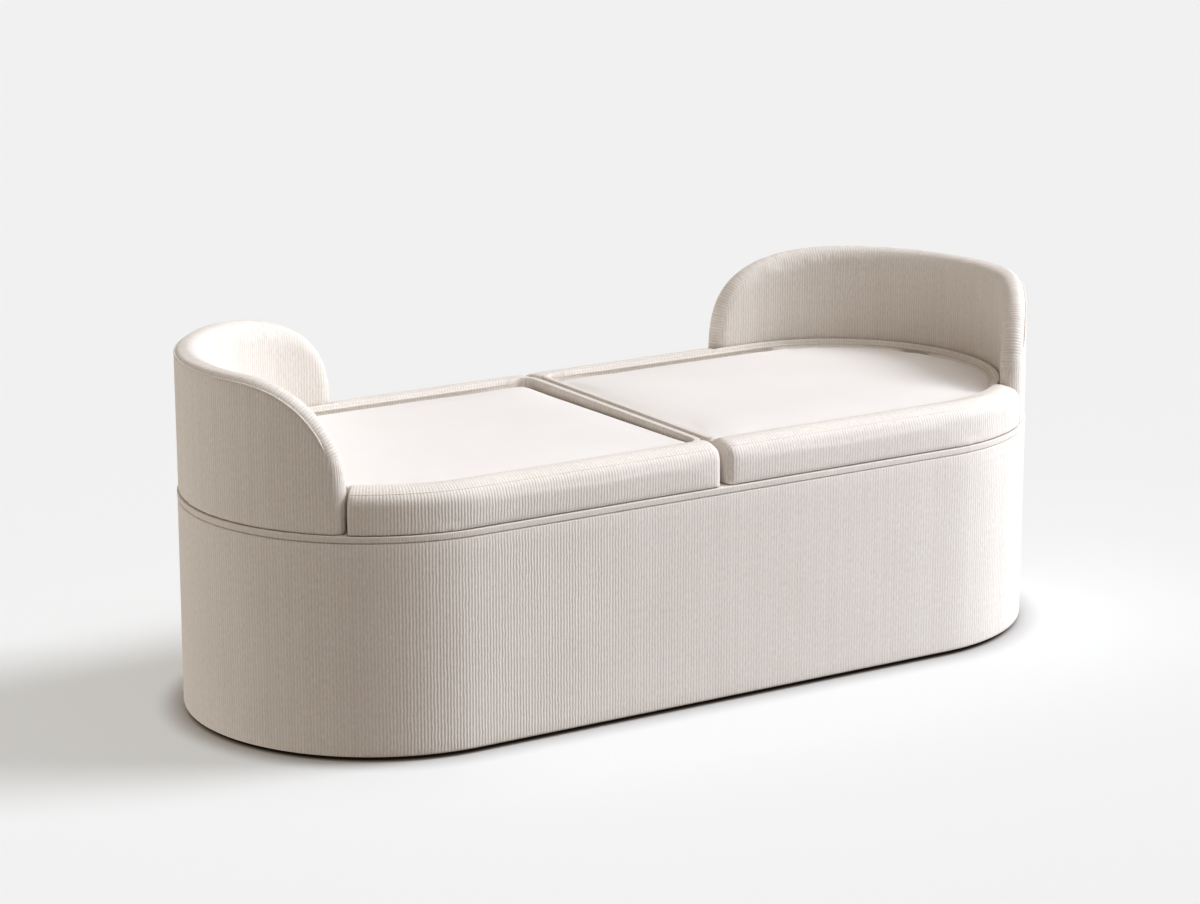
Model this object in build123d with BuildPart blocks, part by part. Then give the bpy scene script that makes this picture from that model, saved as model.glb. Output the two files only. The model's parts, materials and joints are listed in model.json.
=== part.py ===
"""Upholstered storage bench: a stadium-shaped base, two curved arms and two lift-off seat trays."""

import os
from math import asin, atan2, cos, degrees, hypot, radians, sin

from build123d import *

# Whole bench, millimetres. X runs along the bench, -Y is the front, Z = 0 is the floor.
length = 1456.0
depth = 600.0
floor_gap = 7.0
base_height = 321.5
band_height = 9.0

# Carcass
panel_thickness = 15.0
wall_thickness = 12.0
foam_thickness = 6.5
cover_thickness = 1.5
cover_turn_under = 38.0
post_width = 40.0
post_depth = 28.0
divider_thickness = 15.0
cleat_size = 20.0
ledge_width = 70.0
mouth_corner = 30.0
centre_bar = 80.0
mat_thickness = 3.0
mat_clearance = 1.0
sheet_thickness = 1.0
glide_diameter = 40.0
glide_edge = 2.0
glide_hole_clearance = 1.0
glide_inset = 75.0
glide_columns = 4
band_proud = 0.5
band_round = 3.0

# Arms
arm_thickness = 40.0
arm_height = 222.5
arm_end_angle = 52.0
arm_back_overlap = 66.0
arm_end_height = 65.0
arm_front_curve = 162.0
arm_front_fullness = 0.56
arm_tip_level = 16.0
arm_back_fullness = 0.76
arm_crest_flat = 4.0
arm_frame_thickness = 14.0
arm_frame_inset = 15.0
frame_clearance = 0.3
bolt_diameter = 6.0
bolt_length = 62.0
bolt_head_diameter = 13.0
bolt_head_height = 4.0
bolt_clearance = 0.3
bolts_per_arm = 5

# Lids
lid_gap = 9.0
arm_gap = 2.0
bumper_height = 3.0
bumper_diameter = 16.0
lid_board_thickness = 15.0
border_skin = 6.0
rim_skin = 3.0
rim_thickness = 11.0
rim_height = 61.5
rim_flat = 2.0
lid_corner = 14.0
tray_corner = 20.0
boxing_height = 54.5
crest_rise = 12.0
crest_roll = 15.0
crease_drop = 15.0
boxing_round = 20.0
rear_round = 5.0
rear_fall = 12.0
rail_padding = 7.0
rail_back_padding = 15.0
rail_top_padding = 5.5
rail_end_inset = 14.0
hoop_thickness = 5.0
hoop_top_padding = 9.5
batten_width = 20.0
batten_height = 18.0
batten_clearance = 3.0
batten_end_gap = 30.0
lining_inset = 6.0
pad_clearance = 0.5
pad_edge_height = 39.0
pad_crown = 5.0
pad_roll = 7.0
pad_tuck = 3.0
pad_rise = 130.0
pad_steps = 5

# Base levels and radii, which follow from the sizes above
end_radius = depth / 2
half_straight = length / 2 - end_radius
wall_outer = end_radius - cover_thickness - foam_thickness
wall_inner = wall_outer - wall_thickness
mouth_radius = wall_outer - ledge_width
mouth_edge = centre_bar / 2
floor_level = floor_gap + cover_thickness
bin_floor = floor_level + panel_thickness
band_bottom = floor_gap + base_height
deck_level = band_bottom + band_height
deck_under = deck_level - panel_thickness
wall_height = deck_under - bin_floor
glide_pitch = 2 * half_straight / (glide_columns - 1)
glide_row = end_radius - glide_inset

# Arm levels and radii
arm_inner = end_radius - arm_thickness
arm_middle = end_radius - arm_thickness / 2
arm_back = half_straight - arm_back_overlap
arm_back_curve = arm_back_overlap + arm_inner - arm_tip_level
arm_top = deck_level + arm_height
arm_spring = deck_level + arm_end_height
arm_round = (arm_thickness - arm_crest_flat) / 2
frame_outer = arm_middle + arm_frame_thickness / 2
frame_inner = arm_middle - arm_frame_thickness / 2

# Lid levels, radii and edges
lid_radius = arm_inner - arm_gap
lid_end_angle = arm_end_angle + degrees(arm_gap / lid_radius)
lid_edge = lid_gap / 2
rear_end = arm_back - arm_gap
tray_radius = lid_radius - rim_thickness
tray_edge = lid_edge + rim_thickness
board_bottom = deck_level + bumper_height
board_top = board_bottom + lid_board_thickness
skirt_bottom = board_bottom - sheet_thickness
rim_top = skirt_bottom + rim_height
rim_round = (rim_thickness - rim_flat) / 2
seam_level = skirt_bottom + boxing_height
crest_level = seam_level + crest_rise
crease_level = crest_level - crease_drop
crest_line = -tray_radius - crest_roll
crest_setback = end_radius - tray_radius - crest_roll
crest_curve = (crest_setback**2 + crest_rise**2) / (2 * crest_rise)
crest_angle = degrees(asin(crest_setback / crest_curve))
rear_crest = tray_radius + rear_round
rear_setback = end_radius - rear_crest
rear_curve = (rear_setback**2 + rear_fall**2) / (2 * rear_fall)
rear_angle = degrees(asin(rear_setback / rear_curve))
rail_front = end_radius - rail_padding
rail_width = rail_front - tray_radius - rail_back_padding
rail_height = seam_level - board_top - rail_top_padding
hoop_offset = (rim_thickness - hoop_thickness) / 2
hoop_height = rim_top - board_top - hoop_top_padding
batten_row = mouth_radius - batten_clearance - batten_width / 2
batten_start = mouth_edge + batten_clearance
bumper_row = (mouth_radius + tray_radius) / 2
pad_edge_level = board_top + pad_edge_height

# Length of cutting shapes that have to run past the bench, and the tolerance for choosing edges
reach = 2 * end_radius
touch = 0.01

os.makedirs("parts", exist_ok=True)


def save(piece, name):
    """Label a finished piece and write it to its own file."""
    piece.part.label = name
    export_step(piece.part, f"parts/{name}.step")


def save_pair(right, name):
    """Write a right-hand piece and its mirrored left-hand twin."""
    save(right, f"right_{name}")
    with BuildPart() as left:
        mirror(right.part, about=Plane.YZ)
    save(left, f"left_{name}")


def stadium(radius, mode=Mode.ADD):
    """Straight-sided outline with half-round ends, at a distance of radius from the bench's spine."""
    SlotOverall(2 * (half_straight + radius), 2 * radius, mode=mode)


def d_shape(edge, radius, corner, mode=Mode.ADD):
    """Right-hand D outline: a straight side at X = edge and a half-round end of the given radius."""
    with BuildLine() as outline:
        Line((edge + corner, -radius), (half_straight, -radius))
        CenterArc((half_straight, 0), radius, -90, 90)
        CenterArc((half_straight, 0), radius, 0, 90)
        Line((half_straight, radius), (edge + corner, radius))
        CenterArc((edge + corner, radius - corner), corner, 90, 90)
        Line((edge, radius - corner), (edge, corner - radius))
        CenterArc((edge + corner, corner - radius), corner, 180, 90)
    make_face(outline.edges(), mode=mode)


def front_sector(edge, radius, end_angle, mode=Mode.ADD):
    """Plan area from the spine to the front, ending where the arm begins."""
    with BuildLine() as outline:
        Polyline((half_straight, 0), (edge, 0), (edge, -radius), (half_straight, -radius))
        bend = CenterArc((half_straight, 0), radius, -90, 90 - end_angle)
        Line(bend @ 1, (half_straight, 0))
    make_face(outline.edges(), mode=mode)


def arm_zone(inset):
    """Plan area of the right arm between its front end and its back end, each drawn in by inset."""
    end = radians(arm_end_angle)
    start = Vector(half_straight + inset * sin(end), inset * cos(end))
    front = start + Vector(cos(end), -sin(end)) * reach
    far = half_straight + reach
    back = arm_back + inset
    Polygon(start, front, (far, front.Y), (far, reach), (back, reach), (back, start.Y),
            align=None, mode=Mode.INTERSECT)


def arm_wall(inner, outer, inset):
    """Curved right-hand end wall whose top falls to the seat at both ends along soft shoulders."""
    end = radians(arm_end_angle)
    top = arm_top - inset
    rise = top - arm_spring
    front_plane = Plane((half_straight, 0, 0), x_dir=(sin(end), cos(end), 0), z_dir=(cos(end), -sin(end), 0))
    with BuildPart() as wall:
        with BuildSketch(Plane.XY.offset(deck_level)):
            stadium(outer)
            stadium(inner, mode=Mode.SUBTRACT)
            arm_zone(inset)
        extrude(amount=top - deck_level)
        with BuildSketch(front_plane):
            falling_profile(inset, arm_front_curve, rise, arm_front_fullness)
        extrude(amount=reach, mode=Mode.SUBTRACT)
        with BuildSketch(Plane.XZ):
            falling_profile(arm_back + inset, arm_back + arm_back_curve, rise, arm_back_fullness)
        extrude(amount=-reach, mode=Mode.SUBTRACT)
    return wall.part


def falling_profile(start, level_from, rise, fullness):
    """Side-view area above the curve that climbs upright from the arm's end and turns level at its crest."""
    run = level_from - start
    top = arm_spring + rise
    with BuildLine() as outline:
        Bezier((start, arm_spring), (start, arm_spring + fullness * rise), (level_from - fullness * run, top),
               (level_from, top))
        Polyline((level_from, top), (level_from, top + rise), (start - run, top + rise),
                 (start - run, arm_spring), (start, arm_spring))
    make_face(outline.edges())


def is_arm_edge(edge):
    """True for the long edges along the arm's two faces, above the deck."""
    middle = edge @ 0.5
    spine_distance = hypot(max(middle.X - half_straight, 0), middle.Y)
    on_face = min(abs(spine_distance - end_radius), abs(spine_distance - arm_inner)) < touch
    tangent_line = abs(middle.X - half_straight) < touch and abs(edge.bounding_box().size.X) < touch
    return on_face and middle.Z > deck_level + touch and not tangent_line


def rail_section(x, clearance):
    """Upright timber section inside the padded border, in the YZ plane at x."""
    with BuildSketch(Plane.YZ.offset(x)) as section:
        with Locations((-rail_front - clearance, board_top)):
            Rectangle(rail_width + 2 * clearance, rail_height + clearance, align=Align.MIN)
    return section.sketch


def front_section(x):
    """Front border: upright boxing, a soft edge, a low crown, then a roll down to the seat pad."""
    with BuildSketch(Plane.YZ.offset(x)) as section:
        with BuildLine():
            Line((-end_radius, skirt_bottom), (-end_radius, seam_level))
            CenterArc((crest_line, crest_level - crest_curve), crest_curve, 90, crest_angle)
            EllipticalCenterArc((crest_line, crease_level), crest_roll, crease_drop, arc_size=90)
            Polyline((-tray_radius, crease_level), (-tray_radius, skirt_bottom), (-end_radius, skirt_bottom))
        make_face()
        fillet(section.vertices().group_by(Axis.X)[0].sort_by(Axis.Y)[-1], radius=boxing_round)
    return section.sketch


def rear_section(x):
    """Rear border: a narrow rounded rim at the tray, then a crown that falls to the back of the bench."""
    with BuildSketch(Plane.YZ.offset(x)) as section:
        with BuildLine():
            Line((tray_radius, skirt_bottom), (tray_radius, rim_top - rear_round))
            CenterArc((rear_crest, rim_top - rear_round), rear_round, 180, -90)
            CenterArc((rear_crest, rim_top - rear_curve), rear_curve, 90, -rear_angle)
            Polyline((end_radius, rim_top - rear_fall), (end_radius, skirt_bottom), (tray_radius, skirt_bottom))
        make_face()
    return section.sketch


def front_run(section, start, end_inset):
    """Run a section along the lid's straight front and round the bend as far as the arm."""
    bend = Axis((half_straight, 0, 0), (0, 0, 1))
    extrude(section, amount=start - half_straight)
    revolve(section, axis=bend, revolution_arc=90 - lid_end_angle - degrees(end_inset / end_radius))


def lid_plan(skin, front_skin):
    """Right lid's outline drawn in by skin at the middle and the end and by front_skin at front and back."""
    radius = end_radius - front_skin
    d_shape(lid_edge + skin, lid_radius - skin, lid_corner - skin)
    front_sector(lid_edge + skin, radius, lid_end_angle + degrees(skin / lid_radius))
    with Locations((lid_edge + skin, 0)):
        Rectangle(rear_end - lid_edge - 2 * skin, radius, align=Align.MIN)
    corners = vertices().group_by(Axis.X)[0].filter_by(lambda corner: abs(corner.Y) > radius - touch)
    fillet(corners, radius=lid_corner - skin)


def end_rim_plan(radius, thickness):
    """Thin wall in plan round the lid's half-round end, from the front border to the rear border."""
    d_shape(lid_edge, radius, lid_corner)
    front_sector(0, reach, lid_end_angle, mode=Mode.SUBTRACT)
    Rectangle(rear_end, reach, align=Align.MIN, mode=Mode.SUBTRACT)
    d_shape(tray_edge, radius - thickness, tray_corner, mode=Mode.SUBTRACT)


def gap_rim_plan(edge, thickness):
    """Thin wall in plan along the lid's middle side, with the tray's two rounded corners."""
    with Locations((edge, 0)):
        Rectangle(thickness + tray_corner, 2 * tray_radius, align=(Align.MIN, Align.CENTER))
    d_shape(edge + thickness, tray_radius, tray_corner, mode=Mode.SUBTRACT)


def is_rim_edge(edge):
    """True for a rim's long top edges, apart from the ends that meet the front and rear borders."""
    middle = edge @ 0.5
    at_top = edge.bounding_box().min.Z > rim_top - touch
    at_border = abs(abs(middle.Y) - tray_radius) < touch and middle.X < rear_end - touch
    bend_angle = degrees(atan2(-middle.Y, middle.X - half_straight))
    at_front_end = abs(bend_angle - lid_end_angle) < touch and middle.X > half_straight
    at_rear_end = abs(middle.X - rear_end) < touch
    return at_top and not (at_border or at_front_end or at_rear_end)


bolt_angles = [
    arm_end_angle - (arm_end_angle + 90) * (step + 0.5) / bolts_per_arm
    for step in range(bolts_per_arm)
]
bolt_points = [
    (half_straight + arm_middle * cos(radians(angle)), -arm_middle * sin(radians(angle)))
    for angle in bolt_angles
]

# Base carcass
with BuildPart() as bottom_panel:
    with BuildSketch(Plane.XY.offset(floor_level)):
        stadium(wall_outer)
    extrude(amount=panel_thickness)
save(bottom_panel, "bottom_panel")

for name, side in (("front_panel", -1), ("rear_panel", 1)):
    with BuildPart() as panel:
        with BuildSketch(Plane.XY.offset(bin_floor)):
            with Locations((0, side * (wall_inner + wall_thickness / 2))):
                Rectangle(2 * half_straight, wall_thickness)
        extrude(amount=wall_height)
    save(panel, name)

with BuildPart() as end_wall:
    with BuildSketch(Plane.XY.offset(bin_floor)):
        with Locations((half_straight, 0)):
            Circle(wall_outer)
            Circle(wall_inner, mode=Mode.SUBTRACT)
            Rectangle(reach, 2 * reach, align=(Align.MIN, Align.CENTER), mode=Mode.INTERSECT)
    extrude(amount=wall_height)
save_pair(end_wall, "end_wall")

with BuildPart() as corner_posts:
    with BuildSketch(Plane.XY.offset(bin_floor)):
        with GridLocations(2 * half_straight, 2 * wall_inner, 2, 2):
            Rectangle(post_width, 2 * post_depth)
        stadium(wall_inner, mode=Mode.INTERSECT)
    extrude(amount=wall_height)
save(corner_posts, "corner_posts")

with BuildPart() as centre_divider:
    with BuildSketch(Plane.XY.offset(bin_floor)):
        Rectangle(divider_thickness, 2 * wall_inner)
    extrude(amount=wall_height)
save(centre_divider, "centre_divider")

with BuildPart() as divider_cleats:
    with BuildSketch(Plane.XY.offset(bin_floor)):
        with GridLocations(divider_thickness + cleat_size, 2 * wall_inner - cleat_size, 2, 2):
            Rectangle(cleat_size, cleat_size)
    extrude(amount=wall_height)
save(divider_cleats, "divider_cleats")

with BuildPart() as deck_half:
    with BuildSketch(Plane.XY.offset(deck_under)):
        stadium(wall_outer)
        d_shape(mouth_edge, mouth_radius, mouth_corner, mode=Mode.SUBTRACT)
        with Locations(*bolt_points):
            Circle(bolt_diameter / 2 + bolt_clearance, mode=Mode.SUBTRACT)
        Rectangle(2 * reach, 2 * reach, align=(Align.MIN, Align.CENTER), mode=Mode.INTERSECT)
    extrude(amount=panel_thickness)
    with BuildSketch(Plane.XY.offset(deck_under)):
        with Locations(*bolt_points):
            Circle(bolt_head_diameter / 2 + bolt_clearance)
    extrude(amount=bolt_head_height, mode=Mode.SUBTRACT)
with BuildPart() as deck:
    add(deck_half.part)
    mirror(deck_half.part, about=Plane.YZ)
save(deck, "deck")

with BuildPart() as bin_mat:
    with BuildSketch(Plane.XY.offset(bin_floor)):
        d_shape(divider_thickness / 2 + mat_clearance, wall_inner - mat_clearance, mat_clearance)
        with GridLocations(2 * half_straight, 2 * wall_inner, 2, 2):
            Rectangle(post_width + 2 * mat_clearance, 2 * (post_depth + mat_clearance), mode=Mode.SUBTRACT)
        with GridLocations(divider_thickness + cleat_size, 2 * wall_inner - cleat_size, 2, 2):
            Rectangle(cleat_size + 2 * mat_clearance, cleat_size + 2 * mat_clearance, mode=Mode.SUBTRACT)
    extrude(amount=mat_thickness)
save_pair(bin_mat, "bin_mat")

# Base upholstery, glides and trim
with BuildPart() as base_foam:
    with BuildSketch(Plane.XY.offset(floor_level)):
        stadium(wall_outer + foam_thickness)
        stadium(wall_outer, mode=Mode.SUBTRACT)
    extrude(amount=band_bottom - floor_level)
save(base_foam, "base_foam")

with BuildPart() as base_cover:
    with BuildSketch(Plane.XY.offset(floor_gap)):
        stadium(end_radius)
    extrude(amount=base_height)
    with BuildSketch(Plane.XY.offset(floor_level)):
        stadium(wall_outer + foam_thickness)
    extrude(amount=base_height, mode=Mode.SUBTRACT)
    with BuildSketch(Plane.XY.offset(floor_gap)):
        stadium(end_radius - cover_turn_under)
    extrude(amount=cover_thickness, mode=Mode.SUBTRACT)
save(base_cover, "base_cover")

with BuildPart() as trim_band:
    with BuildSketch(Plane.XY.offset(band_bottom)):
        stadium(end_radius + band_proud)
        stadium(wall_outer, mode=Mode.SUBTRACT)
    extrude(amount=band_height)
    outer_edges = trim_band.edges().filter_by(lambda edge: edge.bounding_box().size.Z < touch)
    outer_edges = outer_edges.filter_by(
        lambda edge: hypot(max(abs((edge @ 0.5).X) - half_straight, 0), (edge @ 0.5).Y) > end_radius
    )
    fillet(outer_edges, radius=band_round)
save(trim_band, "trim_band")

with BuildPart() as dust_cover:
    with BuildSketch(Plane.XY.offset(floor_level - sheet_thickness)):
        stadium(end_radius - cover_turn_under)
        with GridLocations(glide_pitch, 2 * glide_row, glide_columns, 2):
            Circle(glide_diameter / 2 + glide_hole_clearance, mode=Mode.SUBTRACT)
    extrude(amount=sheet_thickness)
save(dust_cover, "dust_cover")

with BuildPart() as glides:
    with BuildSketch(Plane.XY):
        with GridLocations(glide_pitch, 2 * glide_row, glide_columns, 2):
            Circle(glide_diameter / 2)
    extrude(amount=floor_level)
    chamfer(glides.edges().group_by(Axis.Z)[0], length=glide_edge)
save(glides, "glides")

# Arms
with BuildPart() as arm_frame:
    add(arm_wall(frame_inner, frame_outer, arm_frame_inset))
    with BuildSketch(Plane.XY.offset(deck_level)):
        with Locations(*bolt_points):
            Circle(bolt_diameter / 2 + bolt_clearance)
    extrude(amount=bolt_length - panel_thickness + bolt_clearance, mode=Mode.SUBTRACT)
save_pair(arm_frame, "arm_frame")

with BuildPart() as arm_pad:
    add(arm_wall(arm_inner, end_radius, 0))
    fillet(arm_pad.edges().filter_by(is_arm_edge), radius=arm_round)
    frame_room = arm_wall(
        frame_inner - frame_clearance, frame_outer + frame_clearance, arm_frame_inset - frame_clearance
    )
    add(frame_room, mode=Mode.SUBTRACT)
save_pair(arm_pad, "arm_pad")

with BuildPart() as right_bolts:
    with BuildSketch(Plane.XY.offset(deck_under)):
        with Locations(*bolt_points):
            Circle(bolt_diameter / 2)
    extrude(amount=bolt_length)
    with BuildSketch(Plane.XY.offset(deck_under)):
        with Locations(*bolt_points):
            Circle(bolt_head_diameter / 2)
    extrude(amount=bolt_head_height)
with BuildPart() as arm_bolts:
    add(right_bolts.part)
    mirror(right_bolts.part, about=Plane.YZ)
save(arm_bolts, "arm_bolts")

# Lid boards and the timber inside their borders and rims
with BuildPart() as lid_board:
    with BuildSketch(Plane.XY.offset(board_bottom)):
        lid_plan(rim_skin, border_skin)
    extrude(amount=lid_board_thickness)
save_pair(lid_board, "lid_board")

with BuildPart() as board_room:
    with BuildSketch(Plane.XY.offset(skirt_bottom - touch)):
        lid_plan(rim_skin - frame_clearance, border_skin - frame_clearance)
    extrude(amount=board_top - skirt_bottom + touch)

with BuildPart() as front_rail:
    front_run(rail_section(half_straight, 0), lid_edge + rail_end_inset, rail_end_inset)
save_pair(front_rail, "lid_front_rail")

with BuildPart() as front_rail_room:
    room_inset = rail_end_inset - frame_clearance
    front_run(rail_section(half_straight, frame_clearance), lid_edge + room_inset, room_inset)

rear_rail_length = rear_end - lid_edge - 2 * rail_end_inset
with BuildPart() as rear_rail:
    extrude(rail_section(rear_end - rail_end_inset, 0), amount=-rear_rail_length)
    mirror(about=Plane.XZ, mode=Mode.REPLACE)
save_pair(rear_rail, "lid_rear_rail")

with BuildPart() as rear_rail_room:
    extrude(
        rail_section(rear_end - room_inset, frame_clearance),
        amount=-rear_rail_length - 2 * frame_clearance,
    )
    mirror(about=Plane.XZ, mode=Mode.REPLACE)

with BuildPart() as end_hoop:
    with BuildSketch(Plane.XY.offset(board_top)):
        end_rim_plan(lid_radius - hoop_offset, hoop_thickness)
    extrude(amount=hoop_height)
save_pair(end_hoop, "lid_end_hoop")

with BuildPart() as end_hoop_room:
    with BuildSketch(Plane.XY.offset(board_top - touch)):
        end_rim_plan(lid_radius - hoop_offset + frame_clearance, hoop_thickness + 2 * frame_clearance)
    extrude(amount=hoop_height + frame_clearance + touch)

with BuildPart() as gap_strip:
    with BuildSketch(Plane.XY.offset(board_top)):
        with Locations((lid_edge + hoop_offset, 0)):
            Rectangle(hoop_thickness, 2 * tray_radius, align=(Align.MIN, Align.CENTER))
    extrude(amount=hoop_height)
save_pair(gap_strip, "lid_gap_strip")

with BuildPart() as gap_strip_room:
    with BuildSketch(Plane.XY.offset(board_top - touch)):
        with Locations((lid_edge + hoop_offset - frame_clearance, 0)):
            Rectangle(hoop_thickness + 2 * frame_clearance, depth, align=(Align.MIN, Align.CENTER))
    extrude(amount=hoop_height + frame_clearance + touch)

# Upholstered borders, rims and seat pads
with BuildPart() as front_border:
    front_run(front_section(half_straight), lid_edge, 0)
    gap_corner = front_border.edges().filter_by(Axis.Z).group_by(Axis.X)[0].sort_by(Axis.Y)[0]
    fillet(gap_corner, radius=lid_corner)
    add(board_room.part, mode=Mode.SUBTRACT)
    add(front_rail_room.part, mode=Mode.SUBTRACT)
save_pair(front_border, "lid_front_border")

with BuildPart() as rear_border:
    extrude(rear_section(rear_end), amount=lid_edge - rear_end)
    gap_corner = rear_border.edges().filter_by(Axis.Z).group_by(Axis.X)[0].sort_by(Axis.Y)[-1]
    fillet(gap_corner, radius=lid_corner)
    add(board_room.part, mode=Mode.SUBTRACT)
    add(rear_rail_room.part, mode=Mode.SUBTRACT)
save_pair(rear_border, "lid_rear_border")

with BuildPart() as end_rim:
    with BuildSketch(Plane.XY.offset(skirt_bottom)):
        end_rim_plan(lid_radius, rim_thickness)
    extrude(amount=rim_top - skirt_bottom)
    fillet(end_rim.edges().filter_by(is_rim_edge), radius=rim_round)
    add(board_room.part, mode=Mode.SUBTRACT)
    add(end_hoop_room.part, mode=Mode.SUBTRACT)
save_pair(end_rim, "lid_end_rim")

with BuildPart() as gap_rim:
    with BuildSketch(Plane.XY.offset(skirt_bottom)):
        gap_rim_plan(lid_edge, rim_thickness)
    extrude(amount=rim_top - skirt_bottom)
    fillet(gap_rim.edges().filter_by(is_rim_edge), radius=rim_round)
    add(board_room.part, mode=Mode.SUBTRACT)
    add(gap_strip_room.part, mode=Mode.SUBTRACT)
save_pair(gap_rim, "lid_gap_rim")

pad_sides = [
    (board_top, pad_tuck),
    (board_top + pad_roll, 0),
    (pad_edge_level - pad_roll, 0),
    (pad_edge_level - pad_roll / 4, pad_roll / 4),
]
pad_top = [
    (pad_edge_level + pad_crown * (1 - (1 - step / pad_steps) ** 2), pad_roll + pad_rise * step / pad_steps)
    for step in range(pad_steps + 1)
]
with BuildPart() as seat_pad:
    for level, inset in pad_sides + pad_top:
        with BuildSketch(Plane.XY.offset(level)):
            d_shape(tray_edge + pad_clearance + inset, tray_radius - pad_clearance - inset, tray_corner)
    loft(ruled=True)
save_pair(seat_pad, "seat_pad")

with BuildPart() as lid_battens:
    with BuildSketch(Plane.XY.offset(board_bottom)):
        with Locations(((batten_start + mouth_corner + half_straight) / 2, 0)):
            with GridLocations(0, 2 * batten_row, 1, 2):
                Rectangle(half_straight - batten_start - mouth_corner, batten_width)
        with Locations((batten_start + batten_width / 2, 0)):
            Rectangle(batten_width, 2 * (batten_row - batten_end_gap - batten_width))
    extrude(amount=-batten_height)
save_pair(lid_battens, "lid_battens")

bumper_points = [
    (mouth_edge + mouth_corner, -bumper_row),
    (half_straight, -bumper_row),
    (half_straight + bumper_row, 0),
    (half_straight, bumper_row),
    (mouth_edge + mouth_corner, bumper_row),
]
with BuildPart() as lid_bumpers:
    with BuildSketch(Plane.XY.offset(deck_level)):
        with Locations(*bumper_points):
            Circle(bumper_diameter / 2)
    extrude(amount=bumper_height)
save_pair(lid_bumpers, "lid_bumpers")

with BuildPart() as lid_lining:
    with BuildSketch(Plane.XY.offset(board_bottom)):
        lining_edge = batten_start + batten_width + lining_inset
        d_shape(lining_edge, batten_row - batten_width / 2 - lining_inset, mouth_corner)
    extrude(amount=-sheet_thickness)
save_pair(lid_lining, "lid_lining")
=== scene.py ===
"""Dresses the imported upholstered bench: padded ribbed cloth, piping, seat pads, timber inside and a pale studio."""

import json
import logging
import math
from collections.abc import Iterator
from contextlib import contextmanager
from dataclasses import dataclass, field
from enum import Enum

import bpy
import numpy as np
from bpy.types import Material, Node, NodeSocket, NodeTree
from bpy.types import Object as Piece
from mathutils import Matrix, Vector
from mathutils.bvhtree import BVHTree

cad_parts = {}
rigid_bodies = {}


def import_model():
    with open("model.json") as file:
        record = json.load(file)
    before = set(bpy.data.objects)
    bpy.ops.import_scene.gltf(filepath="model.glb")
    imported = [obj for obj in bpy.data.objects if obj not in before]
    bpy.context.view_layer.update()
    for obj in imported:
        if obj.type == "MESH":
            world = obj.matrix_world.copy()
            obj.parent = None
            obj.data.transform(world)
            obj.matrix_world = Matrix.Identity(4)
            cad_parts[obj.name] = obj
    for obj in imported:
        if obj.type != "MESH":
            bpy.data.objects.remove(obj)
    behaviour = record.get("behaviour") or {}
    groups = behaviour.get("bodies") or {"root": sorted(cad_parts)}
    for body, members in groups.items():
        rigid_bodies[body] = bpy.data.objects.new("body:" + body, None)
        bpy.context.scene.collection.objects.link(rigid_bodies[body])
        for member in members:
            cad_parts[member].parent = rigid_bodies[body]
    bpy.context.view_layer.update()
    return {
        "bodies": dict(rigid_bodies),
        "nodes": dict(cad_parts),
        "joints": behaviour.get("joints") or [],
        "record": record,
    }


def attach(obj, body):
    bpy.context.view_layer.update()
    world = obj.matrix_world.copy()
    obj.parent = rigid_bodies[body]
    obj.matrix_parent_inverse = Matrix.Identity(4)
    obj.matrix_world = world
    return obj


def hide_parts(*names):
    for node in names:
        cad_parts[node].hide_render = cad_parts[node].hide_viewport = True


log = logging.getLogger("bench")

MM = 0.001
MATH = "ShaderNodeMath"
NOISE = "ShaderNodeTexNoise"
MATT_CLOTH = {"Specular IOR Level": 0.2, "Sheen Roughness": 0.5}


class Body(Enum):
    """The CAD bodies that pieces ride on."""

    BASE = "base"
    LEFT_LID = "left_lid"
    RIGHT_LID = "right_lid"


class Side(Enum):
    """Left and right hand of the bench, as seen from its front."""

    LEFT = "left"
    RIGHT = "right"

    @property
    def lid(self) -> str:
        """Name of this side's lid body."""
        return Body.LEFT_LID.value if self is Side.LEFT else Body.RIGHT_LID.value


class Lay(Enum):
    """How the cloth's ribs lie on a piece."""

    UPRIGHT = "ribs stand upright all round the bench"
    TRAY = "ribs stand upright round the bench and along the gap between the lids"
    FLAT = "threads run along and across the seat"


@dataclass(frozen=True)
class BenchSizes:
    """Sizes that several pieces share, in metres, the same as in the CAD frame."""

    end_radius: float = 0.300
    half_straight: float = 0.428
    wall_outer: float = 0.292
    floor_gap: float = 0.007
    turn_under: float = 0.262
    band_bottom: float = 0.3285
    deck_level: float = 0.3375
    arm_inner: float = 0.260
    arm_middle: float = 0.280
    arm_back: float = 0.362
    arm_end_angle: float = math.radians(52.0)
    arm_spring: float = 0.4025
    arm_top: float = 0.560
    arm_front_curve: float = 0.162
    arm_front_fullness: float = 0.56
    arm_back_curve: float = 0.310
    arm_back_fullness: float = 0.76
    skirt_bottom: float = 0.3395
    board_top: float = 0.3555
    rim_top: float = 0.401
    seam_level: float = 0.394
    tray_radius: float = 0.247
    tray_edge: float = 0.0155
    tray_corner: float = 0.020
    lid_edge: float = 0.0045
    lid_end_angle: float = math.radians(52.444)
    rear_end: float = 0.360

    @property
    def girth(self) -> float:
        """Length all the way round the base."""
        return 4 * self.half_straight + 2 * math.pi * self.end_radius


SIZES = BenchSizes()


def linear(colour: str) -> tuple[float, float, float, float]:
    """Turns an sRGB hex colour into linear RGBA.

    Args:
        colour: Six hex digits with a leading hash sign.

    Returns:
        Linear red, green, blue and an alpha of 1.
    """
    parts = [int(colour[i : i + 2], 16) / 255 for i in (1, 3, 5)]
    red, green, blue = (p / 12.92 if p <= 0.04045 else ((p + 0.055) / 1.055) ** 2.4 for p in parts)
    return red, green, blue, 1.0


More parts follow.
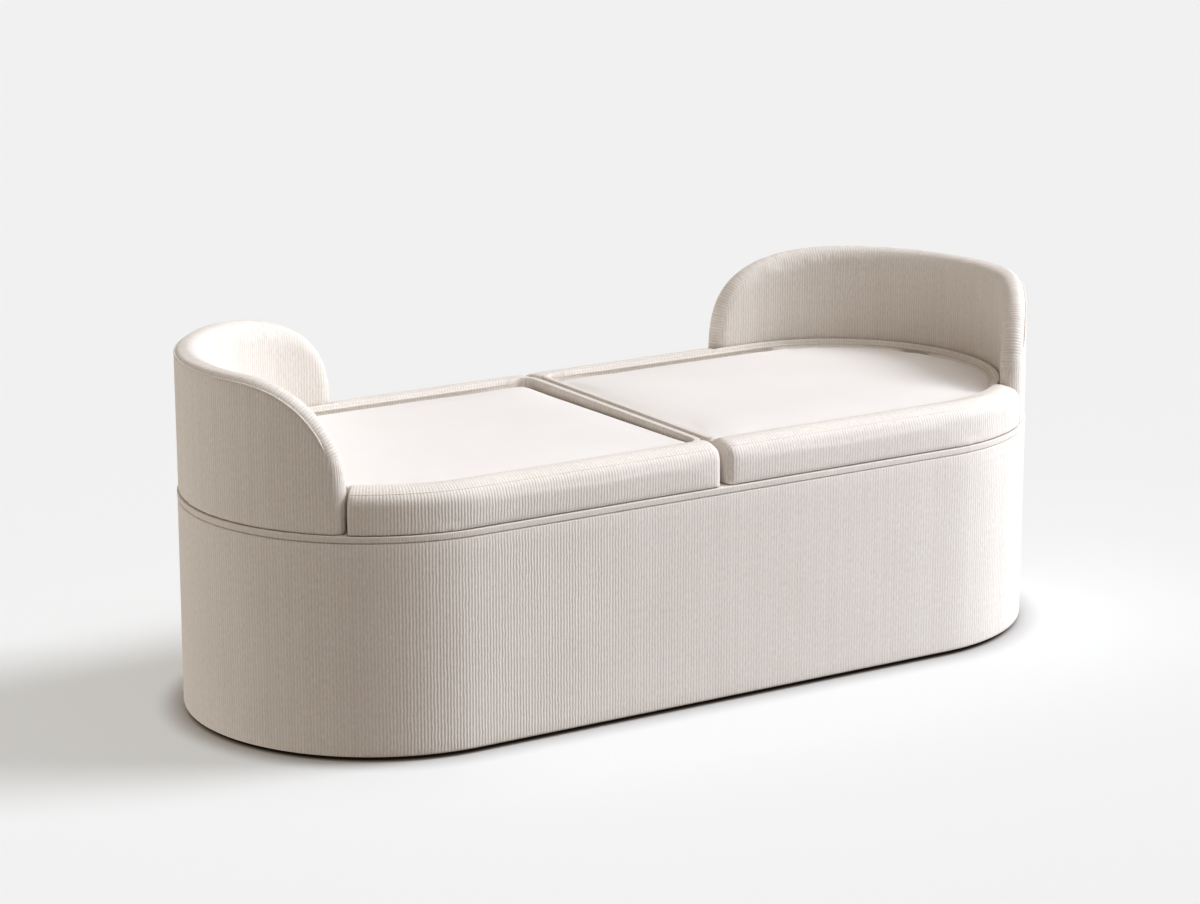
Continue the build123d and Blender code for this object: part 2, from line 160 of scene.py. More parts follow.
def add_node(tree: NodeTree, kind: str, inputs: dict | None = None, **settings: object) -> Node:
    """Adds a shader node with its settings and links.

    Args:
        tree: Node tree that gets the node.
        kind: Blender's name for the node type.
        inputs: Input sockets by name or number, each a value, an output socket, or a node for its first output.
        settings: Node properties to set before the inputs.

    Returns:
        The new node.
    """
    node = tree.nodes.new(kind)
    for name, value in settings.items():
        setattr(node, name, value)
    for key, value in (inputs or {}).items():
        source = value.outputs[0] if isinstance(value, Node) else value
        if isinstance(source, NodeSocket):
            tree.links.new(source, node.inputs[key])
        else:
            node.inputs[key].default_value = source
    return node


def new_material(name: str) -> tuple[Material, NodeTree]:
    """Makes an empty node material.

    Args:
        name: Name of the real material.

    Returns:
        The material and its cleared node tree.
    """
    material = bpy.data.materials.new(name)
    material.use_nodes = True
    material.node_tree.nodes.clear()
    return material, material.node_tree


def close_surface(
    tree: NodeTree, tone: Node, ends: tuple[str, str], bump: tuple[Node, float, float], looks: dict[str, float]
) -> None:
    """Ends a material: its tone mixes two colours, its height gives the bump, and both reach the shader.

    Args:
        tree: The material's node tree.
        tone: Node that runs from 0 to 1.
        ends: sRGB hex colours at a tone of 0 and of 1.
        bump: Node that gives the height, the relief in metres and the bump's strength.
        looks: Values of the shader's other sockets.
    """
    height, relief, strength = bump
    colour = add_node(tree, "ShaderNodeMix", {0: tone, 6: linear(ends[0]), 7: linear(ends[1])}, data_type="RGBA")
    normal = add_node(tree, "ShaderNodeBump", {"Height": height, "Distance": relief, "Strength": strength})
    sockets = {"Base Color": colour.outputs[2], "Normal": normal, **looks}
    shader = add_node(tree, "ShaderNodeBsdfPrincipled", sockets)
    add_node(tree, "ShaderNodeOutputMaterial", {0: shader})


@dataclass(frozen=True)
class RibbedCloth:
    """Cotton and linen rep: thick upright ribs with finer picks across, matt, a little uneven from rib to rib."""

    name: str
    light: str
    dark: str
    rib_pitch: float = 5.0 * MM
    pick_pitch: float = 5.0 * MM
    relief: float = 0.5 * MM
    bump: float = 0.6
    roughness: float = 0.92
    sheen: float = 0.1

    def make(self) -> Material:
        """Builds the cloth's node material from the piece's own weave map."""
        material, tree = new_material(self.name)
        # The real ribs are nearer 4 mm; they are drawn a little coarser so that they show in the render.
        ribs_round = round(SIZES.girth / self.rib_pitch)
        weave = add_node(tree, "ShaderNodeUVMap", uv_map="weave")
        across, along, _ = add_node(tree, "ShaderNodeSeparateXYZ", {0: weave}).outputs
        wobble = add_node(tree, NOISE, {"Vector": weave, "Scale": 55.0, "Detail": 2.0})
        shift = add_node(tree, MATH, {0: wobble, 1: 0.55, 2: -0.27}, operation="MULTIPLY_ADD")
        ribs = add_node(tree, MATH, {0: across, 1: ribs_round / SIZES.girth, 2: shift}, operation="MULTIPLY_ADD")
        picks = add_node(tree, MATH, {0: along, 1: 1 / self.pick_pitch}, operation="MULTIPLY")
        waves = []
        for count in (ribs, picks):
            turn = add_node(tree, MATH, {0: count, 1: 2 * math.pi}, operation="MULTIPLY")
            wave = add_node(tree, MATH, {0: turn}, operation="COSINE")
            waves.append(add_node(tree, MATH, {0: wave, 1: 0.5, 2: 0.5}, operation="MULTIPLY_ADD"))
        rib, pick = waves
        number = add_node(tree, MATH, {0: ribs, 1: 0.5}, operation="ADD")
        number = add_node(tree, MATH, {0: number}, operation="FLOOR")
        chance = add_node(tree, "ShaderNodeTexWhiteNoise", {"W": number}, noise_dimensions="1D")
        stretch = add_node(tree, "ShaderNodeMapping", {"Vector": weave, "Scale": (380.0, 120.0, 1.0)})
        slub = add_node(tree, NOISE, {"Vector": stretch, "Scale": 1.0, "Detail": 3.0})
        patch = add_node(tree, NOISE, {"Vector": weave, "Scale": 9.0, "Detail": 2.0})
        # The tone rises and falls with the rib wave, in step with the ribs' bump, so each groove between ribs is
        # painted darker: painted shade in the grooves. The rest of the tone is the yarn's own uneven colour from rib to
        # rib, in slubs and in patches.
        tone, height = -0.05, rib
        for source, weight in ((rib, 0.3), (chance, 0.08), (slub, 0.7), (patch, 0.16)):
            last = source is patch
            tone = add_node(tree, MATH, {0: source, 1: weight, 2: tone}, operation="MULTIPLY_ADD", use_clamp=last)
        for source, weight in ((pick, 0.1), (slub, 0.9)):
            height = add_node(tree, MATH, {0: source, 1: weight, 2: height}, operation="MULTIPLY_ADD")
        looks = {"Roughness": self.roughness, "Sheen Weight": self.sheen, **MATT_CLOTH}
        close_surface(tree, tone, (self.dark, self.light), (height, self.relief, self.bump), looks)
        return material


@dataclass(frozen=True)
class PlainCloth:
    """Fine plain-woven cotton: close even threads that only just show, soft and matt."""

    name: str
    light: str
    dark: str
    thread_pitch: float = 2.6 * MM
    relief: float = 0.25 * MM
    bump: float = 0.35
    roughness: float = 0.9
    sheen: float = 0.12

    def make(self) -> Material:
        """Builds the cloth's node material from Object coordinates, so that it needs no map."""
        material, tree = new_material(self.name)
        place = add_node(tree, "ShaderNodeTexCoord").outputs["Object"]
        axes = add_node(tree, "ShaderNodeSeparateXYZ", {0: place})
        waves = []
        for axis in (0, 1):
            sides = {0: axes.outputs[axis], 1: 2 * math.pi / self.thread_pitch}
            angle = add_node(tree, MATH, sides, operation="MULTIPLY")
            waves.append(add_node(tree, MATH, {0: angle}, operation="SINE"))
        threads = add_node(tree, MATH, {0: waves[0], 1: waves[1]}, operation="MULTIPLY")
        fuzz = add_node(tree, NOISE, {"Vector": place, "Scale": 900.0, "Detail": 2.0})
        patch = add_node(tree, NOISE, {"Vector": place, "Scale": 7.0, "Detail": 3.0})
        # The tone follows the threads a little, in step with their bump, so the low spots of the weave are painted
        # slightly darker: painted shade. Fuzz and patches are the cloth's own uneven colour.
        tone = 0.2
        for source, weight in ((threads, 0.1), (fuzz, 0.4), (patch, 0.6)):
            last = source is patch
            tone = add_node(tree, MATH, {0: source, 1: weight, 2: tone}, operation="MULTIPLY_ADD", use_clamp=last)
        height = add_node(tree, MATH, {0: fuzz, 1: 0.8, 2: threads}, operation="MULTIPLY_ADD")
        looks = {"Roughness": self.roughness, "Sheen Weight": self.sheen, **MATT_CLOTH}
        close_surface(tree, tone, (self.dark, self.light), (height, self.relief, self.bump), looks)
        return material


@dataclass(frozen=True)
class Timber:
    """Sawn or peeled wood: long grain streaks along one axis, pores, and faint veneer layers on plywood edges."""

    name: str
    light: str
    dark: str
    grain_width: float = 6.0 * MM
    ply: float = 0.0
    relief: float = 0.2 * MM
    bump: float = 0.3
    roughness: float = 0.62

    def make(self) -> Material:
        """Builds the wood's node material from Object coordinates."""
        material, tree = new_material(self.name)
        place = add_node(tree, "ShaderNodeTexCoord").outputs["Object"]
        scale = 1 / self.grain_width
        stretch = add_node(tree, "ShaderNodeMapping", {"Vector": place, "Scale": (scale * 0.05, scale, scale)})
        grain = add_node(tree, NOISE, {"Vector": stretch, "Scale": 1.0, "Detail": 4.0, "Distortion": 0.6})
        pores = add_node(tree, "ShaderNodeMapping", {"Vector": place, "Scale": (90.0, 1400.0, 1400.0)})
        pore = add_node(tree, NOISE, {"Vector": pores, "Scale": 1.0, "Detail": 1.0})
        tone = add_node(tree, MATH, {0: pore, 1: 0.35, 2: -0.15}, operation="MULTIPLY_ADD")
        tone = add_node(tree, MATH, {0: grain, 1: 1.0, 2: tone}, operation="MULTIPLY_ADD", use_clamp=True)
        if self.ply:
            axes = add_node(tree, "ShaderNodeSeparateXYZ", {0: place})
            layer = add_node(tree, MATH, {0: axes.outputs[2], 1: math.pi / self.ply}, operation="MULTIPLY")
            layer = add_node(tree, MATH, {0: layer}, operation="SINE")
            tone = add_node(tree, MATH, {0: layer, 1: 0.18, 2: tone}, operation="MULTIPLY_ADD", use_clamp=True)
        looks = {"Roughness": self.roughness}
        close_surface(tree, tone, (self.light, self.dark), (pore, self.relief, self.bump), looks)
        return material


@dataclass(frozen=True)
class Grained:
    """A moulded, pressed or plated surface: an even colour with a fine grit that breaks up its gloss."""

    name: str
    light: str
    dark: str
    grit: float = 1.2 * MM
    relief: float = 0.15 * MM
    bump: float = 0.5
    roughness: float = 0.55
    metallic: float = 0.0

    def make(self) -> Material:
        """Builds the surface's node material from Object coordinates."""
        material, tree = new_material(self.name)
        place = add_node(tree, "ShaderNodeTexCoord").outputs["Object"]
        speck = add_node(tree, NOISE, {"Vector": place, "Scale": 1 / self.grit, "Detail": 3.0})
        looks = {"Roughness": self.roughness, "Metallic": self.metallic}
        close_surface(tree, speck, (self.dark, self.light), (speck, self.relief, self.bump), looks)
        return material


class Finishes:
    """Every finish on the bench, made once and shared by its pieces."""

    def __init__(self) -> None:
        """Makes the node materials."""
        self.ribbed = RibbedCloth("ribbed cotton rep", "#F8F4EF", "#CBC0B4").make()
        self.trim = RibbedCloth("ribbed cotton rep, trim", "#F4EFE9", "#D0C5B9", rib_pitch=2.6 * MM).make()
        self.pad = PlainCloth("plain woven cotton", "#F4F1EE", "#EAE5E0").make()
        self.plywood = Timber("birch plywood", "#DDC49C", "#B8986A", ply=1.4 * MM).make()
        self.pine = Timber("planed pine", "#E2C08C", "#BE9258", grain_width=9 * MM).make()
        self.felt = Grained("wool felt", "#B9B2A8", "#8F887E", grit=2.5 * MM, relief=0.6 * MM, roughness=0.95).make()
        self.underside = Grained("non-woven polypropylene", "#2C2B2A", "#181817", roughness=0.9).make()
        self.nylon = Grained("moulded nylon", "#242424", "#141414", roughness=0.45).make()
        self.rubber = Grained("moulded rubber", "#2A2826", "#1A1918", roughness=0.8).make()
        self.zinc = Grained("zinc-plated steel", "#C9CCCF", "#A5A9AD", roughness=0.35, metallic=1.0).make()


def only(piece: Piece) -> None:
    """Selects one piece alone and makes it active, in object mode."""
    if bpy.context.object and bpy.context.object.mode != "OBJECT":
        bpy.ops.object.mode_set(mode="OBJECT")
    bpy.ops.object.select_all(action="DESELECT")
    piece.select_set(True)
    bpy.context.view_layer.objects.active = piece


@contextmanager
def editing(piece: Piece) -> Iterator[None]:
    """Holds one piece in edit mode for the operators of a with block."""
    only(piece)
    bpy.ops.object.mode_set(mode="EDIT")
    yield
    bpy.ops.object.mode_set(mode="OBJECT")


def new_object(name: str, data: bpy.types.ID) -> Piece:
    """Puts a mesh, curve, light or camera into the scene as a new object."""
    made = bpy.data.objects.new(name, data)
    bpy.context.scene.collection.objects.link(made)
    return made


def points_of(piece: Piece) -> np.ndarray:
    """Returns a piece's vertex positions as rows of x, y and z."""
    points = np.zeros(len(piece.data.vertices) * 3, np.float32)
    piece.data.vertices.foreach_get("co", points)
    return points.reshape(-1, 3).astype(float)


def set_points(piece: Piece, points: np.ndarray) -> None:
    """Writes a piece's vertex positions back."""
    piece.data.vertices.foreach_set("co", points.astype(np.float32).ravel())
    piece.data.update()


def corners_of(piece: Piece) -> tuple[np.ndarray, np.ndarray, np.ndarray]:
    """Reads a piece's faces.

    Args:
        piece: The piece.

    Returns:
        The vertex at each face corner, each face's number of corners, and the place of each face's first corner.
    """
    mesh = piece.data
    corners, totals = np.zeros(len(mesh.loops), np.int32), np.zeros(len(mesh.polygons), np.int32)
    mesh.loops.foreach_get("vertex_index", corners)
    mesh.polygons.foreach_get("loop_total", totals)
    return corners, totals, np.cumsum(totals) - totals


def surface_of(piece: Piece) -> BVHTree:
    """Faces of a piece, to find the points that lie on it or near it."""
    return BVHTree.FromPolygons([v.co for v in piece.data.vertices], [tuple(p.vertices) for p in piece.data.polygons])


def outward(piece: Piece) -> None:
    """Merges a piece's doubles and turns its faces outward."""
    with editing(piece):
        bpy.ops.mesh.select_all(action="SELECT")
        bpy.ops.mesh.remove_doubles(threshold=0.01 * MM)
        bpy.ops.mesh.normals_make_consistent(inside=False)


def modify(piece: Piece, kind: str, **settings: object) -> None:
    """Adds a modifier to a piece and applies it.

    Args:
        piece: The piece.
        kind: Blender's name for the modifier type.
        settings: Modifier properties to set.
    """
    modifier = piece.modifiers.new(kind.lower(), kind)
    for name, value in settings.items():
        setattr(modifier, name, value)
    only(piece)
    bpy.ops.object.modifier_apply(modifier=modifier.name)


def copy_of_node(node: Piece, name: str) -> Piece:
    """Copies a CAD node's mesh into a new piece with merged corners.

    Args:
        node: The CAD node's object.
        name: Name of the new piece.

    Returns:
        The new piece, with no materials.
    """
    mesh = node.data.copy()
    mesh.materials.clear()
    piece = new_object(name, mesh)
    only(piece)
    bpy.ops.mesh.customdata_custom_splitnormals_clear()
    outward(piece)
    return piece


def even_out(piece: Piece, voxel: float, inward: float, turns: int) -> None:
    """Rebuilds a closed piece from even quads, draws it in to leave room to swell, and smooths out their ripple.

    Args:
        piece: The closed piece.
        voxel: Size of the quads, in metres.
        inward: How far it is drawn in, in metres.
        turns: Number of smoothing turns.
    """
    modify(piece, "REMESH", mode="VOXEL", voxel_size=voxel, use_smooth_shade=True)
    modify(piece, "DISPLACE", strength=-inward, mid_level=0.0)
    modify(piece, "SMOOTH", factor=0.5, iterations=turns)


def soften(piece: Piece, share: np.ndarray, turns: int) -> None:
    """Rounds part of a remeshed piece more than the rest.

    Args:
        piece: The remeshed piece.
        share: How far each vertex takes part, from 0 to 1.
        turns: Number of smoothing turns.
    """
    group = piece.vertex_groups.new(name="soft")
    for index in np.nonzero(share > 0.01)[0].tolist():
        group.add([index], float(share[index]), "REPLACE")
    modify(piece, "SMOOTH", factor=0.5, iterations=turns, vertex_group="soft")
    piece.vertex_groups.clear()


def swell(piece: Piece, held: np.ndarray, cap: np.ndarray, pressure: float, frames: int = 20) -> None:
    """Blows a pad up by cloth simulation, with its held points still, and applies the result.

    Args:
        piece: The remeshed pad.
        held: True for each vertex that is glued down.
        cap: The furthest that each vertex may move, in metres.
        pressure: Pressure inside the cloth.
        frames: Number of frames to run.
    """
    rest = points_of(piece)
    group = piece.vertex_groups.new(name="held")
    group.add(np.nonzero(held)[0].tolist(), 1.0, "REPLACE")
    modifier = piece.modifiers.new("swell", "CLOTH")
    cloth = modifier.settings
    cloth.quality, cloth.mass, cloth.pin_stiffness = 5, 0.3, 1.0
    cloth.tension_stiffness = cloth.compression_stiffness = 30.0
    cloth.shear_stiffness, cloth.bending_stiffness = 15.0, 2.0
    cloth.vertex_group_mass = "held"
    cloth.use_pressure, cloth.uniform_pressure_force = True, pressure
    cloth.effector_weights.gravity = 0.0
    modifier.collision_settings.use_collision = False
    modifier.point_cache.frame_start, modifier.point_cache.frame_end = 1, frames
    for frame in range(1, frames + 1):
        bpy.context.scene.frame_set(frame)
    only(piece)
    bpy.ops.object.modifier_apply(modifier=modifier.name)
    bpy.context.scene.frame_set(1)
    step = points_of(piece) - rest
    length = np.linalg.norm(step, axis=1)
    share = np.minimum(1.0, cap / np.maximum(length, 1e-9))
    set_points(piece, rest + step * share[:, None])
    piece.vertex_groups.clear()


def hollow_out(piece: Piece, nodes: list[Piece], reach: float = 0.8 * MM) -> None:
    """Takes the room for the timber out of a copied soft solid, so that it is solid padding to the timber.

    Args:
        piece: The copied soft solid.
        nodes: CAD nodes that the room is for.
        reach: The room's walls lie within this distance of the nodes, in metres.
    """
    trees = [surface_of(node) for node in nodes]
    inside = [any(tree.find_nearest(v.co, reach)[0] is not None for tree in trees) for v in piece.data.vertices]
    with editing(piece):
        bpy.ops.mesh.select_mode(type="FACE")
        bpy.ops.mesh.select_all(action="DESELECT")
    for face in piece.data.polygons:
        face.select = all(inside[i] for i in face.vertices)
    with editing(piece):
        bpy.ops.mesh.delete(type="FACE")
        bpy.ops.mesh.select_all(action="SELECT")
        bpy.ops.mesh.fill_holes(sides=0)
        bpy.ops.mesh.normals_make_consistent(inside=False)


def set_down(piece: Piece, level: float, reach: float) -> None:
    """Draws a soft piece's foot back down to the level that it rests at.

    Args:
        piece: The softened piece.
        level: Height of its foot, in metres.
        reach: Height over which the drawing down fades out, in metres.
    """
    points = points_of(piece)
    drop = points[:, 2].min() - level
    fade = np.clip(1 - (points[:, 2] - points[:, 2].min()) / reach, 0.0, 1.0)
    points[:, 2] -= drop * fade
    set_points(piece, points)


def mirrored(piece: Piece) -> Piece:
    """Makes the left-hand twin of a right-hand piece, with its own mesh and faces outward."""
    twin = new_object(piece.name.replace("right", "left", 1), piece.data.copy())
    set_points(twin, points_of(twin) * (-1.0, 1.0, 1.0))
    with editing(twin):
        bpy.ops.mesh.select_all(action="SELECT")
        bpy.ops.mesh.flip_normals()
    return twin


def ramp(values: float | np.ndarray, start: float, width: float) -> float | np.ndarray:
    """Rises from 0 at a start to 1 a width further on."""
    return np.clip((values - start) / width, 0.0, 1.0)


def spine_distance(points: np.ndarray) -> np.ndarray:
    """Distance of each point from the bench's straight spine, in plan."""
    return np.hypot(np.maximum(np.abs(points[:, 0]) - SIZES.half_straight, 0.0), points[:, 1])


def round_the_bench(points: np.ndarray) -> np.ndarray:
    """Length along the bench's outline of each point, from the middle of the front, to the right positive."""
    x, y = np.abs(points[:, 0]), points[:, 1]
    half, radius = SIZES.half_straight, SIZES.end_radius
    bend = half + radius * np.arctan2(np.maximum(x - half, 0.0), -y)
    along = np.where(x > half, bend, np.where(y < 0, x, 2 * half + math.pi * radius - x))
    return np.where(points[:, 0] < 0, -along, along)


def outside_tray(points: np.ndarray) -> np.ndarray:
    """Distance of each point outward from the wall of its lid's tray, in plan."""
    s, x, y = SIZES, np.abs(points[:, 0]), np.abs(points[:, 1])
    across, back = s.tray_edge + s.tray_corner - x, y - s.tray_radius + s.tray_corner
    inside = np.minimum(np.maximum(across, back), 0.0) - s.tray_corner
    straight = np.hypot(np.maximum(across, 0.0), np.maximum(back, 0.0)) + inside
    return np.where(x > s.half_straight, np.hypot(x - s.half_straight, y) - s.tray_radius, straight)


def bend_angle(points: np.ndarray) -> np.ndarray:
    """Angle of each point round the right end, from the end's middle towards the front."""
    return np.arctan2(-points[:, 1], np.maximum(points[:, 0] - SIZES.half_straight, 0.0))


def lay_weave(piece: Piece, lay: Lay) -> None:
    """Writes the piece's weave map: metres across the ribs and along them, at each face corner.

    Args:
        piece: The finished mesh.
        lay: How the ribs lie on it.
    """
    corners, totals, starts = corners_of(piece)
    face = np.repeat(np.arange(len(totals)), totals)
    spots = points_of(piece)[corners]
    u, v = spots[:, 0], spots[:, 1]
    if lay is not Lay.FLAT:
        u = round_the_bench(spots)
        u -= SIZES.girth * np.round((u - u[starts][face]) / SIZES.girth)
        v = spots[:, 2] + SIZES.end_radius - spine_distance(spots)
    if lay is Lay.TRAY:
        middle = np.abs(np.add.reduceat(spots, starts) / totals[:, None])
        by_gap = (middle[:, 0] - SIZES.lid_edge < SIZES.end_radius - middle[:, 1])[face]
        u = np.where(by_gap, SIZES.lid_edge - SIZES.end_radius - spots[:, 1], u)
        v = np.where(by_gap, spots[:, 2] + np.abs(spots[:, 0]), v)
    weave = piece.data.uv_layers.new(name="weave")
    weave.uv.foreach_set("vector", np.stack([u, v], axis=1).astype(np.float32).ravel())


def smooth(piece: Piece, angle: float | None = None) -> None:
    """Shades a piece smooth, all over or up to an angle in degrees."""
    only(piece)
    if angle is None:
        bpy.ops.object.shade_smooth()
    else:
        bpy.ops.object.shade_smooth_by_angle(angle=math.radians(angle))


def settle(
    piece: Piece, body: str, finish: Material, nodes: tuple[str, ...] = ()
) -> None:
    """Gives a finished piece its material and its body, and hides the CAD nodes that it stands for.

    Args:
        piece: The finished piece.
        body: Name of the CAD body that it rides on.
        finish: Its material.
        nodes: CAD nodes that it replaces.
    """
    piece.data.materials.clear()
    piece.data.materials.append(finish)
    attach(piece, body)
    if nodes:
        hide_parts(*nodes)
    log.info("%s: %d faces on %s", piece.name, len(piece.data.polygons), body)


def rounded(corners: list[tuple[float, float, float]], steps: int) -> list[tuple[float, float]]:
    """Rounds the corners of a section.

    Args:
        corners: Distance, height and rounding of each corner, in metres.
        steps: Points on each rounding.

    Returns:
        The section's points.
    """
    points: list[tuple[float, float]] = []
    count = len(corners)
    for i, (out, up, radius) in enumerate(corners):
        here = Vector((out, up))
        if radius <= 0:
            points.append((out, up))
            continue
        before = (Vector(corners[i - 1][:2]) - here).normalized() * radius
        after = (Vector(corners[(i + 1) % count][:2]) - here).normalized() * radius
        for step in range(steps + 1):
            t = step / steps
            spot = here + before * (1 - t) ** 2 + after * t**2
            points.append((spot.x, spot.y))
    return points


def run_all_round(name: str, corners: list[tuple[float, float]], bend_steps: int = 72, steps: int = 24) -> Piece:
    """Spins a cross-section round the right end, draws it along the straights and mirrors it to the left.

    Args:
        name: Name of the new piece.
        corners: Distance from the spine and height of each corner of the section, in metres.
        bend_steps: Faces round the half circle.
        steps: Faces along each half straight.

    Returns:
        The closed piece.
    """
    half, count = SIZES.half_straight, len(corners)
    mesh = bpy.data.meshes.new(name)
    mesh.from_pydata([(half, -out, up) for out, up in corners], [(i, (i + 1) % count) for i in range(count)], [])
    piece = new_object(name, mesh)
    with editing(piece):
        bpy.ops.mesh.select_all(action="SELECT")
        bpy.ops.mesh.spin(steps=bend_steps, angle=math.pi, center=(half, 0, 0), axis=(0, 0, 1))
    if points_of(piece)[:, 0].max() < half + 0.1:
        set_points(piece, points_of(piece) * (-1.0, 1.0, 1.0) + (2 * half, 0.0, 0.0))
    with editing(piece):
        bpy.ops.mesh.select_mode(type="EDGE")
        bpy.ops.mesh.select_all(action="DESELECT")
    for edge in piece.data.edges:
        edge.select = all(abs(piece.data.vertices[i].co.x - half) < 0.001 * MM for i in edge.vertices)
    with editing(piece):
        for _ in range(steps):
            bpy.ops.mesh.extrude_region_move(TRANSFORM_OT_translate={"value": (-half / steps, 0.0, 0.0)})
    modify(piece, "MIRROR", use_axis=(True, False, False), merge_threshold=0.05 * MM)
    outward(piece)
    return piece


def tube(name: str, path: list[Vector], radius: float, taper: int = 0) -> Piece:
    """Makes a round piping cord along a path and turns it into a mesh.

    Args:
        name: Name of the new piece.
        path: Points along the middle of the cord.
        radius: Radius of the cord, in metres.
        taper: Number of points over which the cord thins to nothing at its last end.

    Returns:
        The cord's mesh object.
    """
    curve = bpy.data.curves.new(name, "CURVE")
    curve.dimensions, curve.bevel_depth, curve.bevel_resolution, curve.use_fill_caps = "3D", radius, 3, True
    spline = curve.splines.new("POLY")
    spline.points.add(len(path) - 1)
    for i, (point, spot) in enumerate(zip(spline.points, path)):
        point.co = (*spot, 1.0)
        left = len(path) - 1 - i
        point.radius = 1.0 if not taper or left >= taper else max(0.12, left / taper)
    only(new_object(name + "_line", curve))
    bpy.ops.object.convert(target="MESH")
    piece = bpy.context.object
    piece.name = piece.data.name = name
    outward(piece)
    smooth(piece)
    return piece


@dataclass
class BaseUpholstery:
    """Thin foam and ribbed cloth round the base, turned under at the floor, with the trim band over the deck's edge."""

    bottom_round: float = 5 * MM
    top_round: float = 3 * MM
    groove: float = 1.0 * MM
    cloth: float = 1.5 * MM
    band_proud: float = 0.5 * MM
    band_round: float = 1.3 * MM
    ledge_inner: float = 0.244
    ledge_lift: float = 0.4 * MM
    rows: int = 14
    pieces: list[Piece] = field(default_factory=list)

    def build(self) -> None:
        """Models the base cover and the trim band."""
        s = SIZES
        rise, top = (s.band_bottom - s.floor_gap) / self.rows, s.band_bottom - self.groove
        turned = s.floor_gap + self.cloth
        cover = [
            (s.turn_under, s.floor_gap, 0),
            (s.end_radius, s.floor_gap, self.bottom_round),
            *[(s.end_radius, s.floor_gap + rise * row, 0) for row in range(1, self.rows)],
            (s.end_radius, top, self.top_round),
            (s.wall_outer, top, 0),
            (s.wall_outer, turned, 0),
            (s.turn_under, turned, 0),
        ]
        out, ledge, under = s.end_radius + self.band_proud, s.deck_level + self.ledge_lift, self.ledge_lift / 4
        band = [
            (s.wall_outer, s.band_bottom, 0),
            (out, s.band_bottom, self.band_round),
            (out, ledge, self.band_round),
            (self.ledge_inner, ledge, 0),
            (self.ledge_inner, s.deck_level + under, 0),
            (s.wall_outer, s.deck_level + under, 0),
        ]
        for name, corners, steps, angle in (("base_upholstery", cover, 4, 40), ("seat_trim_band", band, 6, 50)):
            piece = run_all_round(name, rounded(corners, steps))
            smooth(piece, angle)
            lay_weave(piece, Lay.UPRIGHT)
            self.pieces.append(piece)

    def dress(self, finishes: Finishes) -> None:
        """Gives the cover and the band their cloth and their place on the base."""
        cover, band = self.pieces
        settle(cover, Body.BASE.value, finishes.ribbed, ("base_cover", "base_foam"))
        settle(band, Body.BASE.value, finishes.trim, ("trim_band",))


